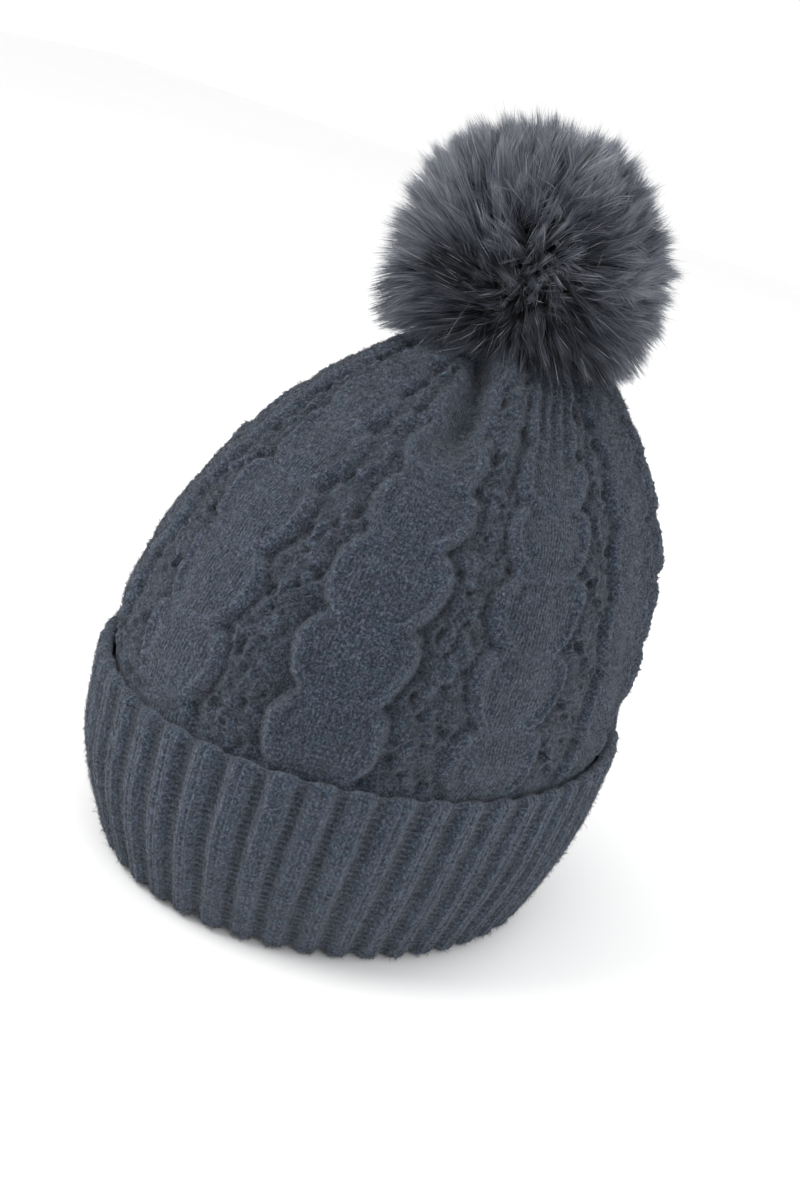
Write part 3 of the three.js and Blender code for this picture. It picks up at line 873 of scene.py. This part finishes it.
def slab(name, front, back):
    """A thin closed sheet between two open grids of points of the same shape."""
    rows, columns = front.shape[:2]
    i, j = np.meshgrid(np.arange(rows - 1), np.arange(columns - 1), indexing="ij")
    corner = (i * columns + j).ravel()
    quads = np.stack([corner, corner + 1, corner + columns + 1, corner + columns], -1)
    under = rows * columns
    edge = np.concatenate([np.arange(columns), np.arange(2, rows + 1) * columns - 1,
                           np.arange(rows * columns - 2, (rows - 1) * columns - 1, -1),
                           np.arange(rows - 2, 0, -1) * columns])
    after = np.roll(edge, -1)
    rim = np.stack([after, edge, edge + under, after + under], -1)
    points = np.concatenate([front.reshape(-1, 3), back.reshape(-1, 3)])
    return mesh_object(name, points, [quads, quads[:, ::-1] + under, rim])


def build_label():
    """A folded satin tag, sewn at its top to the band's back and hanging free below."""
    width, height, thickness, bottom = LABEL
    x, t = np.meshgrid(np.linspace(-0.5, 0.5, 45), np.linspace(0, 1, 64))
    z = bottom + height * t
    back_low = DEPTH_RATIO * inside_wall(bottom) + lean_at(bottom)
    back_high = DEPTH_RATIO * inside_wall(bottom + height) + lean_at(bottom + height)
    y = back_low + (back_high - back_low) * t - 2 * SEAM_RADIUS - 4
    y = y - 0.9 * smooth(0.6, 0.0, t) * np.cos(x * 3.0) + 0.35 * np.sin(5 * x + 3 * t)
    hem = 0.12 * bell((t - 0.93) * height, 0.5) + 0.12 * bell((t - 0.05) * height, 0.4)
    thread = 0.25 * np.maximum(np.cos(TAU * x * width / 2.2), 0) * bell((t - 0.93) * height, 0.35)
    front = np.stack([x * width, y + thickness / 2 - hem + thread * 0.3, z], -1)
    rear = np.stack([x * width, y - thickness / 2 + hem - thread, z], -1)
    return slab("care_tag", rear, front)


def build_pouch():
    """The gathered cloth bag that the fur is sewn to, drawn in at its mouth below."""
    columns, rows = 192, 72
    theta = np.linspace(0, TAU, columns, endpoint=False)[None, :]
    start = math.asin(POUCH_MOUTH_RADIUS / POUCH_RADIUS)
    grids = []
    for inset, order in ((0.0, 1), (1.4, -1)):
        angle = np.linspace(start, math.pi - 0.03, rows)[::order, None]
        sag = 0.45 * np.cos(14 * theta) + 0.3 * np.cos(23 * theta + 1.0)
        pleat = sag * smooth(1.5, 0.4, angle) - 0.5
        r = (POUCH_RADIUS - inset + pleat) * np.sin(angle)
        z = POUCH_Z - (POUCH_HALF_HEIGHT - inset) * np.cos(angle)
        grids.append(np.stack(np.broadcast_arrays(r * np.cos(theta), AXIS_Y + r * np.sin(theta), z), -1))
    outside, inside = grids
    lumps = 0.35 * noise(outside, 9, 71)[..., None] * unit(outside - POUCH_CENTRE)
    points = np.concatenate([(outside + lumps).reshape(-1, 3), inside.reshape(-1, 3)])
    walls = ring_quads(2 * rows + 1, columns) % (2 * rows * columns)
    walls = walls[walls.min(1) // columns != rows - 1]  # both layers are closed at the top
    caps = [cap((rows - 1) * columns, columns), cap(rows * columns, columns, flip=True)]
    return mesh_object("fur_pouch", points, [walls] + caps)


def build_stuffing():
    """The loose filling: a lumpy ball, a little smaller than the pouch."""
    columns, rows = 128, 64
    theta = np.linspace(0, TAU, columns, endpoint=False)[None, :]
    angle = np.linspace(0.04, math.pi - 0.04, rows)[:, None]
    heading = np.stack([np.sin(angle) * np.cos(theta), np.sin(angle) * np.sin(theta),
                        -np.cos(angle) + 0 * theta], -1)
    tufts = 1 - 0.10 * np.abs(noise(heading * 30, 13, 72)) - 0.06 * np.abs(noise(heading * 30, 5, 73))
    points = heading * (POUCH_SIZE - 2.4) * tufts[..., None] + POUCH_CENTRE
    caps = [cap(0, columns, flip=True), cap((rows - 1) * columns, columns)]
    return mesh_object("pompom_stuffing", points.reshape(-1, 3), [ring_quads(rows, columns)] + caps)


def nickel_paint():
    """Bright nickel plate with fine scratches and a little tarnish."""
    paint = Paint("nickel_paint", metallic=1.0, specular=0.5)
    tarnish = paint.noise(420, detail=4)
    paint.colour(paint.ramp(tarnish, (0.30, (0.42, 0.40, 0.37)), (0.65, (0.72, 0.71, 0.68))))
    scratches = paint.noise(900, detail=5, stretch=(1.0, 0.15, 1.0))
    paint.put(paint.shader.inputs["Roughness"], paint.math("MULTIPLY_ADD", scratches, 0.30, third=0.14))
    return paint.bump(scratches, 0.00005, 0.4).material


def cloth_paint(name, dark, light, pitch):
    """Plain woven cloth: threads over and under each other at the given pitch in metres."""
    paint = Paint(name, sheen=0.1)
    weave = paint.node("ShaderNodeTexChecker")
    weave.inputs["Scale"].default_value = 1 / pitch
    paint.link(paint.coordinates, weave.inputs["Vector"])
    threads = paint.math("MULTIPLY_ADD", weave.outputs["Fac"], 0.35, third=0.3)
    threads = paint.math("ADD", threads, paint.math("MULTIPLY", paint.noise(1800, detail=4), 0.35))
    paint.colour(paint.ramp(threads, (0.35, dark), (0.95, light)))
    return paint.bump(threads, pitch / 3, 0.6).material


def fluff_paint(name, dark, light, scale):
    """Matted fibres, as in felt or loose filling."""
    paint = Paint(name, roughness=1.0, sheen=0.35, specular=0.1)
    mat = paint.noise(scale, detail=6, roughness=0.75)
    paint.colour(paint.ramp(mat, (0.35, dark), (0.65, light)))
    return paint.bump(mat, 0.5 / scale, 0.8).material


def satin_paint():
    """Shiny woven satin: long floats lying across the tag."""
    paint = Paint("label_satin_paint", roughness=0.32, sheen=0.25, specular=0.5)
    floats = paint.noise(2600, detail=3, stretch=(0.12, 1.0, 1.0))
    paint.colour(paint.ramp(floats, (0.35, (0.60, 0.60, 0.58)), (0.65, (0.80, 0.80, 0.78))))
    return paint.bump(floats, 0.00006, 0.6).material


def fur_paint():
    """Faux fur: painted shade darkens the fibres towards their roots and painted light brightens their
    ends; the shade attribute, part random tone and part painted light and shade, runs from black to grey.
    """
    paint = Paint("faux_fur_paint", roughness=0.55, sheen=0.15, sheen_roughness=0.4, specular=0.35)
    # Painted shade towards the roots and painted light towards the ends.
    body = paint.ramp(paint.attribute("along"), (0.0, (0.005, 0.005, 0.007)), (0.42, (0.012, 0.013, 0.017)),
                      (0.66, (0.058, 0.061, 0.072)), (1.0, (0.205, 0.209, 0.219)))
    # Random tone, with the painted rim light and painted shade carried in the shade attribute.
    tone_and_painted_light = paint.ramp(paint.attribute("shade"), (0.0, (0.11, 0.12, 0.155)), (0.36, (0.74, 0.80, 0.95)),
                        (0.68, (2.0, 2.02, 2.08)), (1.0, (3.2, 3.2, 3.2)))
    return paint.colour(paint.mix(1.0, body, tone_and_painted_light, "MULTIPLY")).material


def fuzz_paint(name, tint):
    """Loose fibres, from nearly black to light grey, tinted as their yarn is."""
    paint = Paint(name, roughness=0.9, sheen=0.2, specular=0.1)
    greys = ((0.0, 0.010), (0.35, 0.036), (0.75, 0.092), (1.0, 0.160))
    stops = [(at, tuple(grey * c for c in tint)) for at, grey in greys]
    return paint.colour(paint.ramp(paint.attribute("shade"), *stops)).material


# ---- Camera, floor and light ----
CAMERA_ANGLES = (30.16, 18.1, 16.14)  # azimuth, elevation and roll in degrees
CAMERA_AIM = (0, 0, 0.110)
CAMERA_DISTANCE = 0.684
CAMERA_LENS = 53.39  # mm, for the default sensor of 36 mm


def make_camera():
    azimuth, elevation, roll = (math.radians(angle) for angle in CAMERA_ANGLES)
    back = Vector((math.sin(azimuth) * math.cos(elevation), -math.cos(azimuth) * math.cos(elevation),
                   math.sin(elevation)))
    right = Vector((math.cos(azimuth), math.sin(azimuth), 0))
    up = back.cross(right)
    rolled_right = math.cos(roll) * right + math.sin(roll) * up
    rolled_up = math.cos(roll) * up - math.sin(roll) * right
    turn = Matrix((rolled_right, rolled_up, back)).transposed().to_4x4()
    camera = bpy.data.objects.new("camera", bpy.data.cameras.new("camera"))
    camera.matrix_world = Matrix.Translation(Vector(CAMERA_AIM) + back * CAMERA_DISTANCE) @ turn
    camera.data.lens = CAMERA_LENS
    camera.data.shift_x = 0.0101
    camera.data.shift_y = 0.0035
    camera.data.clip_start = 0.01
    bpy.context.scene.collection.objects.link(camera)
    bpy.context.scene.camera = camera


def add_area(name, place, aim, size, energy, colour=(1, 1, 1)):
    light = bpy.data.lights.new(name, "AREA")
    light.shape = "DISK"
    light.size = size
    light.energy = energy
    light.color = colour
    obj = bpy.data.objects.new(name, light)
    obj.location = place
    obj.rotation_euler = (Vector(aim) - Vector(place)).to_track_quat("-Z", "Y").to_euler()
    bpy.context.scene.collection.objects.link(obj)


def make_studio():
    scene = bpy.context.scene
    scene.view_settings.view_transform = "Standard"
    scene.view_settings.look = "None"
    world = bpy.data.worlds.new("studio")
    world.use_nodes = True
    sky = world.node_tree.nodes["Background"]
    sky.inputs["Color"].default_value = (1.0, 1.0, 1.0, 1)
    sky.inputs["Strength"].default_value = 1.02
    scene.world = world
    far = 3000
    floor = mesh_object("floor", [(-far, -far, 0), (far, -far, 0), (far, far, 0), (-far, far, 0)],
                        [[(0, 1, 2, 3)]])
    paint = Paint("floor_paint", roughness=0.8, specular=0.1)
    whites = (0.0, (0.93, 0.93, 0.93)), (1.0, (0.96, 0.96, 0.96))
    paint.colour(paint.ramp(paint.noise(3, detail=2), *whites))
    floor.data.materials.append(paint.material)
    add_area("key_light", (-0.75, -0.75, 1.15), (0, 0.02, 0.12), 0.9, 15, (1.0, 0.99, 0.97))
    add_area("fill_light", (1.1, -0.9, 0.7), (0, 0.02, 0.12), 1.0, 5, (0.95, 0.97, 1.0))
    add_area("back_light", (0.2, 1.2, 0.9), (0, 0.04, 0.2), 0.9, 6)


# ---- Build ----
KEPT_NODES = ("snap_stud", "stud_backing_ring", "snap_spring", "snap_socket", "socket_cap", "backing_disc")


def dress(obj, material, node=None):
    """Give a piece its material, and hide the CAD part it stands for, if there is one."""
    obj.data.materials.append(material)
    if node:
        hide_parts(node)


make_camera()
make_studio()
fur_share, fuzz_share = ((1.0, 1.0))

body_yarn = yarn_paint("cable_yarn_paint", *BODY_COLOURS)
rib_yarn = yarn_paint("rib_yarn_paint", *RIB_COLOURS)
body_fuzz = fuzz_paint("cable_fuzz_paint", (0.82, 0.93, 1.14))
rib_fuzz = fuzz_paint("rib_fuzz_paint", (0.86, 0.96, 1.12))

shell, shell_surface = build_shell()
dress(shell, body_yarn, "cable_shell")
cuff, cuff_surface = lathe_piece("rib_cuff", cuff_section(), CUFF_COLUMNS)
dress(cuff, rib_yarn, "cuff_outer")
band, _ = lathe_piece("rib_band", band_section(), BAND_COLUMNS)
dress(band, rib_yarn, "inner_band")
shell_fuzz = surface_fuzz("body_fuzz", shell_surface, int(220000 * fuzz_share), 51, (16, 292), (1.1, 3.0))
dress(shell_fuzz, body_fuzz)
cuff_fuzz = surface_fuzz("cuff_fuzz", cuff_surface, int(110000 * fuzz_share), 52, (8, 132), (1.0, 2.6))
dress(cuff_fuzz, rib_fuzz)
fur = build_fur("fur_pile_fibres", int(88000 * fur_share), 61)
dress(fur, fur_paint(), "fur_pile")

# What lies inside: seam and gathering yarns, the label, the pompom's pouch and filling.
seam = build_seam_yarn()
dress(seam, body_yarn, "back_seam")
gather_z = SEAT_Z - KNIT - TOUCH - GATHER_YARN - 0.1
gather = build_loop_yarn("crown_gather", GATHER_RADIUS, GATHER_YARN, gather_z, 4.0)
dress(gather, body_yarn, "crown_gather_yarn")
label = build_label()
dress(label, satin_paint(), "care_label")

pouch_cloth = cloth_paint("pouch_cloth_paint", (0.004, 0.004, 0.006), (0.030, 0.031, 0.036), 0.0008)
pouch = build_pouch()
dress(pouch, pouch_cloth, "fur_backing")
mouth_z = POUCH_Z - POUCH_HALF_HEIGHT * math.sqrt(1 - (POUCH_MOUTH_RADIUS / POUCH_RADIUS) ** 2)
thread_z = mouth_z - THREAD_RADIUS - TOUCH - 0.3
thread = build_loop_yarn("pouch_thread", POUCH_MOUTH_RADIUS, THREAD_RADIUS, thread_z, 2.4)
dress(thread, pouch_cloth, "pouch_gather_thread")
filling = build_stuffing()
stuffing_white = fluff_paint("stuffing_paint", (0.45, 0.44, 0.42), (0.80, 0.79, 0.76), 500)
dress(filling, stuffing_white, "fill_core")

# What each piece follows.
for piece in (shell, shell_fuzz, gather):
    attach(piece, "crown")
for piece in (pouch, thread, filling):
    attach(piece, "pompom")
for piece in (cuff, band, cuff_fuzz, seam, label):
    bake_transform(piece)
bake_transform(fur)

# The snap's plates and the felt disc keep their CAD shapes.
nickel = nickel_paint()
felt = fluff_paint("felt_paint", (0.006, 0.006, 0.008), (0.040, 0.041, 0.046), 1400)
for node in KEPT_NODES:
    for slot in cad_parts[node].material_slots:
        slot.material = felt if node == "backing_disc" else nickel

bpy.context.view_layer.update()
